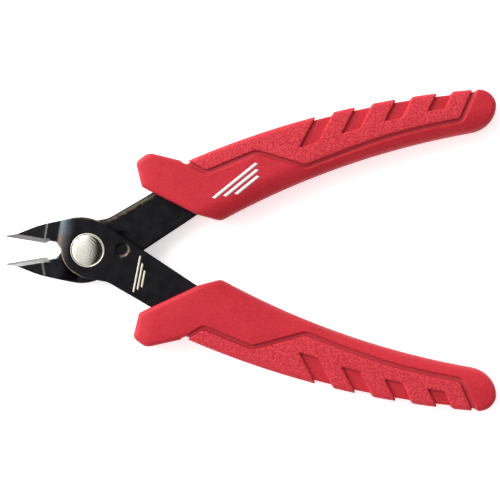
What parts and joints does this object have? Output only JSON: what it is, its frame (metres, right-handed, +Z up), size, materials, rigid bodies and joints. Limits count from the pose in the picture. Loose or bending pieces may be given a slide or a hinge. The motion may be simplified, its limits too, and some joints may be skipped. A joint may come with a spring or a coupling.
{
  "type": "flush cutter",
  "caption": "Small flush cutter: two lapped steel halves on a rivet, sprung open, with pointed jaws and two-shot moulded grips.",
  "frame": {"origin": "centre of the open tool's plan box, on the surface it lies on", "axes": "+X along the tool from the jaws to the handle ends, +Y across the spread handles, +Z up along the pivot axis, out of the front face"},
  "size_m": [0.1297, 0.0848, 0.011],
  "materials": {
    "blackened_steel": "satin black oxide with bare ground bevels",
    "rivet_steel": "bright nickel, spun",
    "spring_steel": "drawn wire",
    "grip_red": "smooth moulded",
    "pad_red": "pebbled soft moulding"
  },
  "bodies": {
    "rear_half": {"rear_blade_half": "blackened_steel", "rear_grip_sleeve": "grip_red", "rear_grip_pad": "pad_red", "pivot_rivet": "rivet_steel", "return_spring": "spring_steel"},
    "front_half": {"front_blade_half": "blackened_steel", "front_grip_sleeve": "grip_red", "front_grip_pad": "pad_red", "stop_pin": "blackened_steel"}
  },
  "joints": [
    {"name": "pivot", "type": "hinge", "parent": "rear_half", "child": "front_half", "pos_m": [-0.04289, 0, 0.0055], "axis": [0, 0, 1], "range_deg": [0, 18], "stiffness_Nm_per_rad": 0.6, "springref_deg": -14.9, "deforming": ["return_spring"]}
  ]
}
